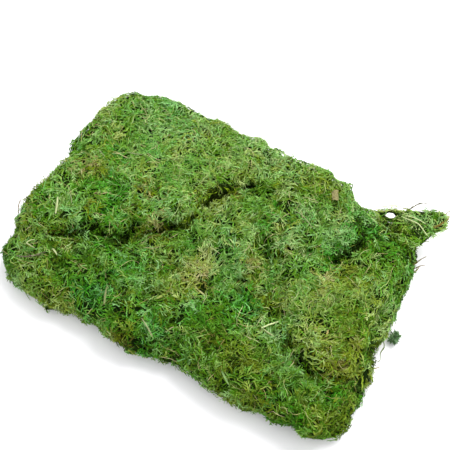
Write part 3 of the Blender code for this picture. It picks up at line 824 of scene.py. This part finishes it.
def ribbon_arrays(shoots, draws):
    """Vertices, triangles and map places of ribbons along the shoots' centre lines."""
    lines, outs = shoots.lines, shoots.out
    count, stations = lines.shape[:2]
    tangent = unit(np.gradient(lines, axis=1))
    lean = draws.normal(0.0, LEAN, count)[:, None]
    twist = draws.normal(0.0, TWIST, count)[:, None]
    roll = lean + np.linspace(-0.5, 0.5, stations) * twist
    side = unit(np.cross(outs, tangent))
    face = np.cross(tangent, side)
    side = side * np.cos(roll)[..., None] + face * np.sin(roll)[..., None]
    along = np.linspace(0.0, 1.0, stations)
    where, shares = RIBBON_ENDS[shoots.taper]
    half = 0.5 * shoots.width[:, None] * np.interp(along, where, shares)
    edges = []
    for sign, phase in ((1.0, 0), (-1.0, 1)):
        ragged = np.ones(stations)
        forward = np.zeros(stations)
        if shoots.taper == "leafy":
            wide = (np.arange(stations) + phase) % 2 == 0
            ragged = np.where(wide, LEAF_WIDE, LEAF_NARROW)
            forward = np.where(wide, LEAF_FORWARD, 0.0)
        reach = half * ragged * draws.uniform(0.75, 1.25, half.shape)
        step = np.linalg.norm(lines[:, 1] - lines[:, 0], axis=1)[:, None, None]
        edges.append(lines + sign * reach[..., None] * side + tangent * forward[:, None] * step)
    pairs = np.stack([edge[:, :-1] for edge in edges], axis=2).reshape(count, -1, 3)
    places = np.concatenate([pairs, lines[:, -1:]], axis=1)
    places[:, :, 2] = np.maximum(places[:, :, 2], LOWEST_LEAF)
    corners = 2 * (stations - 1) + 1
    pattern = []
    for k in range(stations - 2):
        a = 2 * k
        pattern += [(a, a + 1, a + 2), (a + 1, a + 3, a + 2)]
    pattern.append((corners - 3, corners - 2, corners - 1))
    faces = (np.arange(count)[:, None, None] * corners + np.array(pattern)).reshape(-1, 3)
    shade_along = np.concatenate([np.repeat(along[:-1], 2), [1.0]])
    hue_across = np.concatenate([np.tile((0.012, -0.012), stations - 1), [0.0]])
    # Painted light: the tip is lighter than the root, together with the paler dry tips.
    shade = shoots.shade[:, None] + TIP_PAINTED_LIGHT_AND_DRYING * (shade_along - 0.5)
    hue = shoots.hue[:, None] + hue_across
    maps = np.stack([np.clip(shade, 0.02, 0.98), np.clip(hue, 0.02, 0.98)], axis=-1)
    return places.reshape(-1, 3), faces, maps.reshape(-1, 2)


def moss_piece(name, kinds, finish, draws):
    """One mesh of many shoots, in metres, with the map that holds hue and shade."""
    places, faces, maps, start = [], [], [], 0
    for shoots in kinds:
        some_places, some_faces, some_maps = ribbon_arrays(shoots, draws)
        places.append(some_places)
        faces.append(some_faces + start)
        maps.append(some_maps)
        start += len(some_places)
    places, faces, maps = (np.concatenate(part) for part in (places, faces, maps))
    mesh = bpy.data.meshes.new(name)
    mesh.from_pydata((places * MM).tolist(), [], faces.tolist())
    layer = mesh.uv_layers.new(name=UV_MAP)
    layer.uv.foreach_set("vector", maps[faces.ravel()].astype(np.float32).ravel())
    mesh.validate()
    place_piece(name, mesh, finish)


# ------------------------------------------------------------------- finishes

def dyed_feather_moss(name, dye):
    """Dried feather moss, dyed green: thin matte leaves, paler and duller where they dried
    and where painted light falls on them.

    The map's V is the hue from blue-green to brown and its U the shade, so every shoot
    keeps a colour of its own; the shade holds painted light and shade as well as each
    shoot's own brightness, and painted shade is a deeper green. Fine flecks are the leaf
    tips, about 0.6 mm apart.
    Dye is how much of the colour a sheet has kept.
    """
    finish, tree = new_finish(name)
    own_map = add_node(tree, "ShaderNodeUVMap", uv_map=UV_MAP)
    split = add_node(tree, "ShaderNodeSeparateXYZ", {"Vector": own_map.outputs["UV"]})
    ramp = add_node(tree, "ShaderNodeValToRGB", {"Fac": split.outputs["Y"]}, stops=(
        (0.00, "286632"), (0.10, "347A26"), (0.19, "428034"), (0.26, "4CA222"), (0.33, "62943C"),
        (0.40, "689E2E"), (0.47, "7E9A42"), (0.54, "8EA63A"), (0.66, "8E904C"), (0.76, "A69A60"),
        (0.86, "8A7648"), (1.00, "54432C"),
    ))
    shade = add_node(tree, "ShaderNodeMapRange", {"Value": split.outputs["X"]},
                     To_Min=0.09, To_Max=1.36)
    spots = add_node(tree, "ShaderNodeTexCoord")
    flecks = add_node(tree, "ShaderNodeTexNoise", {"Vector": spots.outputs["Object"]},
                      Scale=1600.0, Detail=2.0)
    fleck_shade = add_node(tree, "ShaderNodeMapRange", {"Value": flecks.outputs["Fac"]},
                           From_Min=0.3, From_Max=0.7, To_Min=0.88, To_Max=1.12)
    both = add_node(tree, "ShaderNodeMath",
                    {0: shade.outputs["Result"], 1: fleck_shade.outputs["Result"]},
                    operation="MULTIPLY")
    # Painted shade: the darker the shade, the deeper and more saturated the green.
    depth = add_node(tree, "ShaderNodeMapRange", {"Value": split.outputs["X"]},
                     To_Min=1.40 * dye, To_Max=0.76 * dye)
    colour = add_node(tree, "ShaderNodeHueSaturation",
                      {"Color": ramp.outputs["Color"], "Value": both.outputs["Value"],
                       "Saturation": depth.outputs["Result"]})
    rough = add_node(tree, "ShaderNodeMapRange", {"Value": flecks.outputs["Fac"]},
                     To_Min=0.55, To_Max=0.85)
    bump = add_node(tree, "ShaderNodeBump", {"Height": flecks.outputs["Fac"]},
                    Strength=0.35, Distance=0.0002)
    add_node(tree, "Principled BSDF",
             {"Base Color": colour.outputs["Color"], "Roughness": rough.outputs["Result"],
              "Normal": bump.outputs["Normal"]}, Specular_IOR_Level=0.12)
    return finish


def matted_thatch():
    """Matted dead stems under the shoots: dull brown-green fibres about 0.5 mm thick, near black with
    painted shade for the gaps between shoots.
    """
    finish, tree = new_finish("matted_thatch")
    spots = add_node(tree, "ShaderNodeTexCoord")
    fibres = add_node(tree, "ShaderNodeTexNoise", {"Vector": spots.outputs["Object"]},
                      Scale=700.0, Detail=4.0, Distortion=1.6)
    drift = add_node(tree, "ShaderNodeTexNoise", {"Vector": spots.outputs["Object"]},
                     Scale=60.0, Detail=2.0)
    mixed = add_node(tree, "ShaderNodeMath",
                     {0: fibres.outputs["Fac"], 1: drift.outputs["Fac"]}, operation="MULTIPLY")
    # Near-black greens: the stems' own colour, darkened further as painted shade of the gaps.
    ramp = add_node(tree, "ShaderNodeValToRGB", {"Fac": mixed.outputs["Value"]}, stops=(
        (0.12, "060F02"), (0.24, "122404"), (0.33, "24360A"), (0.45, "363A14"),
    ))
    bump = add_node(tree, "ShaderNodeBump", {"Height": fibres.outputs["Fac"]},
                    Strength=0.8, Distance=0.0006)
    rough = add_node(tree, "ShaderNodeMapRange", {"Value": fibres.outputs["Fac"]},
                     To_Min=0.8, To_Max=0.98)
    add_node(tree, "Principled BSDF",
             {"Base Color": ramp.outputs["Color"], "Roughness": rough.outputs["Result"],
              "Normal": bump.outputs["Normal"]}, Specular_IOR_Level=0.06)
    return finish


# Dry plant surfaces: colours from dark to light, scale of the fibres, depth of the bump in
# metres, roughness, and how far the fibres are drawn out along Y.
PLANT_FINISHES = {
    # Sun-dried grass stems: pale, slightly glossy skin with fibres 0.15 mm apart.
    "dry_grass_straw": (("7C8458", "9CA672", "B4C08C"), 2400.0, 0.00008, (0.4, 0.65), 1.0),
    # Straw that the sun has bleached: the palest and the brightest of the stalks.
    "bleached_grass_straw": (("94A06E", "B6C288", "CED8A2"), 2400.0, 0.00008, (0.4, 0.65), 1.0),
    # Older grass stems that weathered grey-green, with fibres 0.15 mm apart.
    "dull_grass_straw": (("626A42", "7C8658", "94A274"), 2400.0, 0.00008, (0.5, 0.75), 1.0),
    # Thin dead twigs: grey-olive bark with small cracks about 0.4 mm apart.
    "weathered_twig": (("2A2618", "565238", "86866A"), 1500.0, 0.0002, (0.7, 0.95), 1.0),
    # A flake of inner bark: grey-tan split layers with fibres about 0.3 mm wide.
    "inner_bark": (("3E3A1E", "6E683E", "948E5C"), 1100.0, 0.0002, (0.7, 0.9), 0.3),
    # Dead grass leaves: papery, tan with a green cast, veins about 0.25 mm apart.
    "dead_grass_blade": (("50582E", "667040", "7C8652"), 1800.0, 0.0001, (0.55, 0.8), 1.0),
    # A grass leaf that dried green: papery, with veins about 0.25 mm apart.
    "green_grass_blade": (("4C6A32", "608042", "769252"), 1800.0, 0.0001, (0.55, 0.8), 1.0),
}


def plant_finish(name):
    """A dry plant surface: fibres along the piece, and blotches where it weathered."""
    colours, fibre_scale, bump_depth, roughness_range, draw_out = PLANT_FINISHES[name]
    finish, tree = new_finish(name)
    spots = add_node(tree, "ShaderNodeTexCoord")
    drawn_out = add_node(tree, "ShaderNodeMapping", {"Vector": spots.outputs["Object"]},
                         Scale=(1.0, draw_out, 1.0))
    fibres = add_node(tree, "ShaderNodeTexNoise", {"Vector": drawn_out.outputs["Vector"]},
                      Scale=fibre_scale, Detail=3.0, Distortion=0.4)
    blotches = add_node(tree, "ShaderNodeTexNoise", {"Vector": spots.outputs["Object"]},
                        Scale=350.0, Detail=2.0)
    mixed = add_node(tree, "ShaderNodeMix",
                     {"A": fibres.outputs["Fac"], "B": blotches.outputs["Fac"]},
                     data_type="FLOAT", Factor=0.45)
    ramp = add_node(tree, "ShaderNodeValToRGB", {"Fac": mixed.outputs["Result"]},
                    stops=tuple(zip((0.32, 0.5, 0.68), colours)))
    rough = add_node(tree, "ShaderNodeMapRange", {"Value": fibres.outputs["Fac"]},
                     To_Min=roughness_range[0], To_Max=roughness_range[1])
    bump = add_node(tree, "ShaderNodeBump", {"Height": fibres.outputs["Fac"]},
                    Strength=0.7, Distance=bump_depth)
    add_node(tree, "Principled BSDF",
             {"Base Color": ramp.outputs["Color"], "Roughness": rough.outputs["Result"],
              "Normal": bump.outputs["Normal"]}, Specular_IOR_Level=0.35)
    return finish


# --------------------------------------------------------------------- thatch

THATCH_SINK = {"base_sheet": 3.0, "back_sheet": 3.0, "right_sheet": 3.0, "corner_scrap": 1.5,
               "loose_tuft": 1.4}
THATCH_FLOOR = 0.5
THATCH_EDGE = 4.5           # longer edges are split


def lean_hole(places):
    """Lean the wall of the scrap's hole to the far side, so that it shows the ground."""
    drop = np.clip(HOLE_TOP - places[:, 2], 0.0, HOLE_TOP - HOLE_FOOT)
    away = np.hypot(places[:, 0] - HOLE_CENTRE[0], places[:, 1] - HOLE_CENTRE[1])
    drop = drop * (1.0 - smooth_step(4.5, 9.0, away))
    return places + drop[:, None] * (HOLE_LEAN[0], HOLE_LEAN[1], 0.0)


def thatch_piece(sheet, finish):
    """The matted inside of a sheet, a little within the CAD surface, dark with painted shade."""
    body = bmesh.new()
    body.from_mesh(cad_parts[sheet.name].data)
    bmesh.ops.remove_doubles(body, verts=body.verts, dist=0.00002)
    bmesh.ops.triangulate(body, faces=body.faces)
    long_edges = [edge for edge in body.edges if edge.calc_length() > THATCH_EDGE * MM]
    bmesh.ops.subdivide_edges(body, edges=long_edges, cuts=1)
    bmesh.ops.triangulate(body, faces=body.faces)
    body.normal_update()
    sink = THATCH_SINK[sheet.name]
    rough = SoftNoise(4.5, 61)
    places = np.array([vert.co[:] for vert in body.verts]) / MM
    normals = np.array([vert.normal[:] for vert in body.verts])
    if sheet.name == "corner_scrap":
        places = lean_hole(places)
    sinks = sink * (0.7 + 0.3 * normals[:, 2]) * (1.0 + 0.35 * rough(places))
    places = places - normals * sinks[:, None]
    for _ in range(3):
        gap, out = mat.feel(places)
        places = places - out * np.maximum(gap + sinks, 0.0)[:, None]
    places[:, 2] = np.maximum(places[:, 2], THATCH_FLOOR)
    for vert, place in zip(body.verts, places):
        vert.co = Vector(place) * MM
    place_body(sheet.name + "_thatch", body, finish, sheet.name)


# ------------------------------------------------------- stalks, twigs, flakes

# Places from above as in the CAD: each piece is then laid over its own CAD solid.
STALKS = {
    # name: finish, radius, stem joints as shares of the length, places
    "pale_stalk": ("dry_grass_straw", 0.85, (0.55,), ((-126, -36.5), (-123, -41), (-118, -49.5))),
    "bent_stalk": ("dry_grass_straw", 0.5, (),
                   ((-122.5, -73), (-125, -75), (-126, -78.5), (-122, -79), (-118, -79))),
    "thin_straw_1": ("dull_grass_straw", 0.4, (), ((-122.5, -27), (-118, -30), (-113.5, -35))),
    "thin_straw_2": ("dull_grass_straw", 0.4, (0.7,), ((-105.5, 30.5), (-99.5, 32), (-93.5, 34))),
    "thin_straw_3": ("dull_grass_straw", 0.4, (), ((-127, 19), (-123, 17.5), (-118.5, 16))),
    "thin_straw_4": ("dry_grass_straw", 0.4, (), ((68.5, -43), (73, -43.5), (78.5, -43.5))),
    "thin_straw_5": ("dull_grass_straw", 0.4, (0.4,), ((41, 55), (46.5, 54), (53.5, 51), (59, 48))),
    "long_straw": ("dull_grass_straw", 0.6, (0.35,), ((-11.5, -84.5), (-4, -88), (3, -91.5))),
    "bright_straw": ("bleached_grass_straw", 0.6, (0.8,), ((68, -44.5), (71.5, -36.5), (76, -28))),
    "corner_stalk_1": ("bleached_grass_straw", 0.45, (0.45,),
                       ((112.5, 102.5), (119, 103), (125.5, 103.5), (130, 102), (138, 97))),
    "corner_stalk_2": ("bleached_grass_straw", 0.35, (),
                       ((115, 105), (120, 106.5), (125.5, 107), (132.5, 106.5))),
    "dark_twig": ("weathered_twig", 0.6, (0.2, 0.75),
                  ((-127, -91.5), (-119.5, -88.5), (-113, -83.5), (-107.5, -77.5))),
    "corner_twig": ("weathered_twig", 0.5, (0.35, 0.7),
                    ((110.5, 109), (115, 111.5), (117, 115.5), (119, 120), (122, 124), (125, 125.5))),
}
BLADES = {
    # name: finish, width, places
    "tan_blade": ("dead_grass_blade", 1.6, ((-42, -90), (-48, -80.5), (-51.5, -74))),
    "green_blade": ("green_grass_blade", 1.5, ((61, -88), (65.5, -91), (70.5, -94))),
    "white_chip": ("dry_grass_straw", 1.4, ((-105.5, -72), (-102.5, -73), (-99.5, -74.5))),
}
STALK_SIDES = 12
STALK_STEP = 0.7
BLADE_STEP = 0.8
BLADE_COLUMNS = 9
BARK_COLUMNS, BARK_ROWS = 22, 14


def smooth_route(points, step):
    """Places on a smooth curve through points, a step apart."""
    ends = [2 * np.array(points[0]) - points[1], 2 * np.array(points[-1]) - points[-2]]
    here = np.array([ends[0], *points, ends[1]], float)
    places = []
    for a, b, c, d in zip(here, here[1:], here[2:], here[3:]):
        count = max(2, round(np.linalg.norm(c - b) / step))
        for t in np.arange(count) / count:
            place = 2 * b + (c - a) * t + (2 * a - 5 * b + 4 * c - d) * t**2
            places.append(0.5 * (place + (3 * b - a - 3 * c + d) * t**3))
    return np.array([*places, here[-2]])


def middle_line(node, points, step):
    """The middle line of a CAD stalk or blade: its route, at the height of its solid."""
    line = smooth_route(points, step)
    solid = cad_places(node)
    centre = (solid.min(axis=0) + solid.max(axis=0)) / 2.0
    line = line + centre[:2] - (line.min(axis=0) + line.max(axis=0)) / 2.0
    away = np.hypot(*(line[:, None, :] - solid[None, :, :2]).transpose(2, 0, 1))
    weight = np.exp(-(away / 1.5) ** 2) + 1e-9
    height = (weight * solid[:, 2]).sum(axis=1) / weight.sum(axis=1)
    return np.column_stack([line, height])


def directions(line):
    """The ways along a line, across it and up from it, at each of its places."""
    along = unit(np.gradient(line, axis=0))
    across = unit(np.cross(along, (0.0, 0.0, 1.0)))
    return along, across, np.cross(across, along)


def dressed_piece(node, body, finish):
    """Put a bmesh in millimetres in the scene, instead of its CAD node."""
    bmesh.ops.scale(body, vec=(MM, MM, MM), verts=body.verts)
    bmesh.ops.recalc_face_normals(body, faces=body.faces)
    place_body(node + "_detailed", body, finish, node)


def closed_plate(*layers):
    """A thin closed plate between an upper and a lower grid of places, as a bmesh."""
    body = bmesh.new()
    upper, lower = [[[body.verts.new(place) for place in row] for row in layer] for layer in layers]
    rows, columns = len(upper), len(upper[0])
    for i in range(rows - 1):
        for j in range(columns - 1):
            body.faces.new((upper[i][j], upper[i + 1][j], upper[i + 1][j + 1], upper[i][j + 1]))
            body.faces.new((lower[i][j], lower[i][j + 1], lower[i + 1][j + 1], lower[i + 1][j]))
    rim = [(i, 0) for i in range(rows)] + [(rows - 1, j) for j in range(1, columns)]
    rim += [(i, columns - 1) for i in range(rows - 2, -1, -1)]
    rim += [(0, j) for j in range(columns - 2, 0, -1)]
    for (i, j), (k, m) in zip(rim, rim[1:] + rim[:1]):
        body.faces.new((upper[i][j], lower[i][j], lower[k][m], upper[k][m]))
    return body


def ring_tube(line, radii, sides, grooves, draws):
    """A tube along a line as a bmesh; its ends are sunk like a broken hollow stem."""
    body = bmesh.new()
    along, across, up = directions(line)
    angles = np.linspace(0.0, 2.0 * np.pi, sides, endpoint=False)
    rough = 1.0 + grooves * np.cos(5.0 * angles) + 0.05 * draws.normal(0.0, 1.0, (len(line), sides))
    rings = []
    for k, centre in enumerate(line):
        reach = radii[k] * rough[k]
        places = (centre + np.outer(reach * np.cos(angles), across[k])
                  + np.outer(reach * np.sin(angles), up[k]))
        rings.append([body.verts.new(place) for place in places])
    for ring, following in zip(rings, rings[1:]):
        for i in range(sides):
            j = (i + 1) % sides
            body.faces.new((ring[i], ring[j], following[j], following[i]))
    for ring, at, inward in ((rings[0], 0, 1.0), (rings[-1], -1, -1.0)):
        dent = body.verts.new(line[at] + inward * along[at] * radii[at] * 0.8)
        for i in range(sides):
            body.faces.new((ring[i], ring[(i + 1) % sides], dent))
    return body


def stalk_piece(node, finishes, draws):
    """A dry grass stem or a twig: swollen joints, lengthwise grooves, broken ends."""
    kind, radius, joints, points = STALKS[node]
    twig = kind == "weathered_twig"
    swell, reach, grooves = (0.45, 0.9, 0.03) if twig else (0.28, 0.5, 0.07)
    line = middle_line(node, points, STALK_STEP)
    share = np.linspace(-1.0, 1.0, len(line))
    radii = radius * (1.0 - 0.45 * share**2)
    for joint in joints:
        away = (share - (2.0 * joint - 1.0)) * 0.5 * STALK_STEP * len(line)
        radii = radii * (1.0 + swell * np.exp(-(away / reach) ** 2))
    wave = SoftNoise(3.0, 71 + len(node), 3)
    line = line + 0.16 * radius * wave(line)
    body = ring_tube(line, radii, STALK_SIDES, grooves, draws)
    side_twigs = joints if twig else ()
    for joint in side_twigs:
        at = int(joint * (len(line) - 1))
        aim = unit(line[at] - line[at - 1] + draws.normal(0.0, 0.7, 3) + (0, 0, 0.5))
        stub = line[at] + np.outer(np.linspace(0.0, 1.0, 5) * 2.2, aim)
        shoot = ring_tube(stub, radius * np.linspace(0.6, 0.3, 5), 8, 0.02, draws)
        shoot.verts.index_update()
        made = [body.verts.new(vert.co) for vert in shoot.verts]
        for face in shoot.faces:
            body.faces.new([made[vert.index] for vert in face.verts])
        shoot.free()
    dressed_piece(node, body, finishes[kind])


def blade_piece(node, finishes, draws):
    """A dry grass blade: a thin leaf folded along its midrib, torn at its ends."""
    kind, width, points = BLADES[node]
    line = middle_line(node, points, BLADE_STEP)
    along, across, up = directions(line)
    share = np.linspace(0.0, 1.0, len(line))
    half = 0.5 * width * np.interp(share, (0.0, 0.1, 0.6, 1.0), (0.55, 0.9, 1.0, 0.35))
    turn = np.linspace(-0.3, 0.5, len(line))
    columns = np.linspace(-1.0, 1.0, BLADE_COLUMNS)
    layers = []
    for thickness in (0.12, -0.12):
        rows = []
        for k, centre in enumerate(line):
            torn = np.zeros(BLADE_COLUMNS)
            if k in (0, len(line) - 1):
                torn = draws.normal(0.0, 0.35, BLADE_COLUMNS)
            fold = 0.32 * np.abs(columns) * half[k] + 0.05 * np.cos(columns * 9.0)
            side = across[k] * np.cos(turn[k]) + up[k] * np.sin(turn[k])
            top = np.cross(side, along[k])
            rows.append(centre + np.outer(columns * half[k], side)
                        + np.outer(fold + thickness, top) + np.outer(torn, along[k]))
        layers.append(rows)
    dressed_piece(node, closed_plate(*layers), finishes[kind])


def bark_piece(finish):
    """The flake of inner bark: a thin curved plate with a torn outline and split layers."""
    solid = cad_places("bark_chip")
    centre = solid.mean(axis=0)
    along, side = np.linalg.svd(solid - centre, full_matrices=False)[2][:2]
    top = np.cross(along, side)
    top = top if top[2] > 0 else -top
    half_long = np.abs((solid - centre) @ along).max()
    half_wide = np.abs((solid - centre) @ side).max()
    ragged = SoftNoise(1.6, 81)
    layered = SoftNoise(2.4, 82)
    layers = []
    for sign in (1.0, -1.0):
        grid = []
        for a in np.linspace(-1.0, 1.0, BARK_COLUMNS):
            row = []
            for b in np.linspace(-1.0, 1.0, BARK_ROWS):
                spot = centre + along * a * half_long + side * b * half_wide
                edge = max(abs(a) ** 3, abs(b) ** 3)
                stray = 0.35 * ragged(spot[None])[0] * edge
                steps = np.floor(2.5 * (layered((spot * (1, 1, 0))[None])[0] + 1.0)) * 0.13
                height = 0.5 * (1.0 - b * b) + sign * (0.28 * (1.0 - 0.8 * edge))
                height = height + (steps - 0.3 if sign > 0 else 0.0)
                row.append(spot + (along * a + side * b) * stray + top * (height - 0.25))
            grid.append(row)
        layers.append(grid)
    dressed_piece("bark_chip", closed_plate(*layers), finish)


# --------------------------------------------------------------------- studio

def studio():
    """A pale floor, a wide soft light from behind on the right, and an even dome."""
    scene = bpy.context.scene
    scene.view_settings.view_transform = "Standard"
    sides = ((-1, -1), (1, -1), (1, 1), (-1, 1))
    mesh = bpy.data.meshes.new("floor")
    mesh.from_pydata([(x * FLOOR_REACH, y * FLOOR_REACH, 0) for x, y in sides], [], [(0, 1, 2, 3)])
    # Pale photo paper: matte and a little blue, so that it takes the soft grey shadow.
    finish, tree = new_finish("pale_paper_floor")
    add_node(tree, "Principled BSDF", Base_Color=linear("F4F3F6"), Roughness=0.9)
    mesh.materials.append(finish)
    put_in_scene("floor", mesh)

    scene.world = bpy.data.worlds.new("dome")
    scene.world.use_nodes = True
    add_node(scene.world.node_tree, "Background", Color=linear("FFFFFF"), Strength=DOME_STRENGTH)

    key = bpy.data.lights.new("window_light", "AREA")
    key.shape = "DISK"
    key.size = LAMP_WIDTH
    key.energy = LAMP_POWER
    lamp = put_in_scene("window_light", key)
    direction = Vector(LAMP_FROM).normalized()
    lamp.location = direction * LAMP_AWAY
    lamp.rotation_euler = direction.to_track_quat("Z", "Y").to_euler()


def photo_camera():
    """The photograph's view: from above the near side, with a short telephoto lens."""
    azimuth, elevation = np.radians(CAMERA_AZIMUTH), np.radians(CAMERA_ELEVATION)
    back = Vector((np.sin(azimuth) * np.cos(elevation), -np.cos(azimuth) * np.cos(elevation),
                   np.sin(elevation)))
    right = Vector((np.cos(azimuth), np.sin(azimuth), 0.0))
    turn = Matrix((right, back.cross(right), back)).transposed().to_4x4()
    data = bpy.data.cameras.new("camera")
    data.lens = LENS_MM
    data.sensor_width = SENSOR_MM
    data.clip_start = 0.01
    camera = put_in_scene("camera", data)
    place = Vector(CAMERA_TARGET) * MM + back * CAMERA_DISTANCE * MM
    camera.matrix_world = Matrix.Translation(place) @ turn
    bpy.context.scene.camera = camera


# ----------------------------------------------------------------- the build

photo_camera()
studio()
moss_finishes = [dyed_feather_moss(sheet.name.replace("sheet", "moss"), SHEET_DYES[sheet.name])
                 for sheet in sheets]
thatch_finish = matted_thatch()
for sheet in sheets:
    thatch_piece(sheet, thatch_finish)

draws = np.random.default_rng(SEED)
under = moss_strands(draws, count=11000, stations=7, lengths=(9.0, 17.0), widths=(1.0, 1.6),
                     heights=(-2.4, -0.8), curl=0.9, lie=0.45, hue_shift=0.03)
curls = moss_strands(draws, count=28000, stations=7, lengths=(7.0, 15.0), widths=(0.42, 0.82),
                     heights=(-1.0, 1.2), curl=1.0, lie=0.75)
feathers = moss_strands(draws, count=5600, stations=8, lengths=(10.0, 19.0), widths=(0.5, 0.8),
                        heights=(-0.8, 1.0), curl=0.9, lie=0.65, hue_shift=0.03)
branchlets = side_branchlets(feathers, draws)
threads = moss_strands(draws, count=2000, stations=9, lengths=(8.0, 22.0), widths=(0.30, 0.46),
                       heights=(0.2, 1.3), curl=0.6, lie=0.4)
threads.hue = draws.uniform(0.50, 0.78, len(threads.hue))
threads.shade = threads.shade + 0.22
threads.taper = "thread"
tangle = [under, curls, feathers, *branchlets, threads]
tangle = [shoots.take(shoots.owner != TUFT) for shoots in tangle]
tangle += [tuft_strands(420, draws), loose_ends(draws)]
for name, (sheet_number, low_x, high_x) in PIECES.items():
    kinds = []
    for shoots in tangle:
        x = shoots.lines[:, 0, 0]
        chosen = (shoots.owner == sheet_number) & (x >= low_x) & (x < high_x)
        chosen &= clear_of_hole(shoots.lines)
        if chosen.any():
            kinds.append(shoots.take(chosen))
    moss_piece(name, kinds, moss_finishes[sheet_number], draws)

plant_finishes = {name: plant_finish(name) for name in PLANT_FINISHES}
for node in STALKS:
    stalk_piece(node, plant_finishes, draws)
for node in BLADES:
    blade_piece(node, plant_finishes, draws)
bark_piece(plant_finishes["inner_bark"])
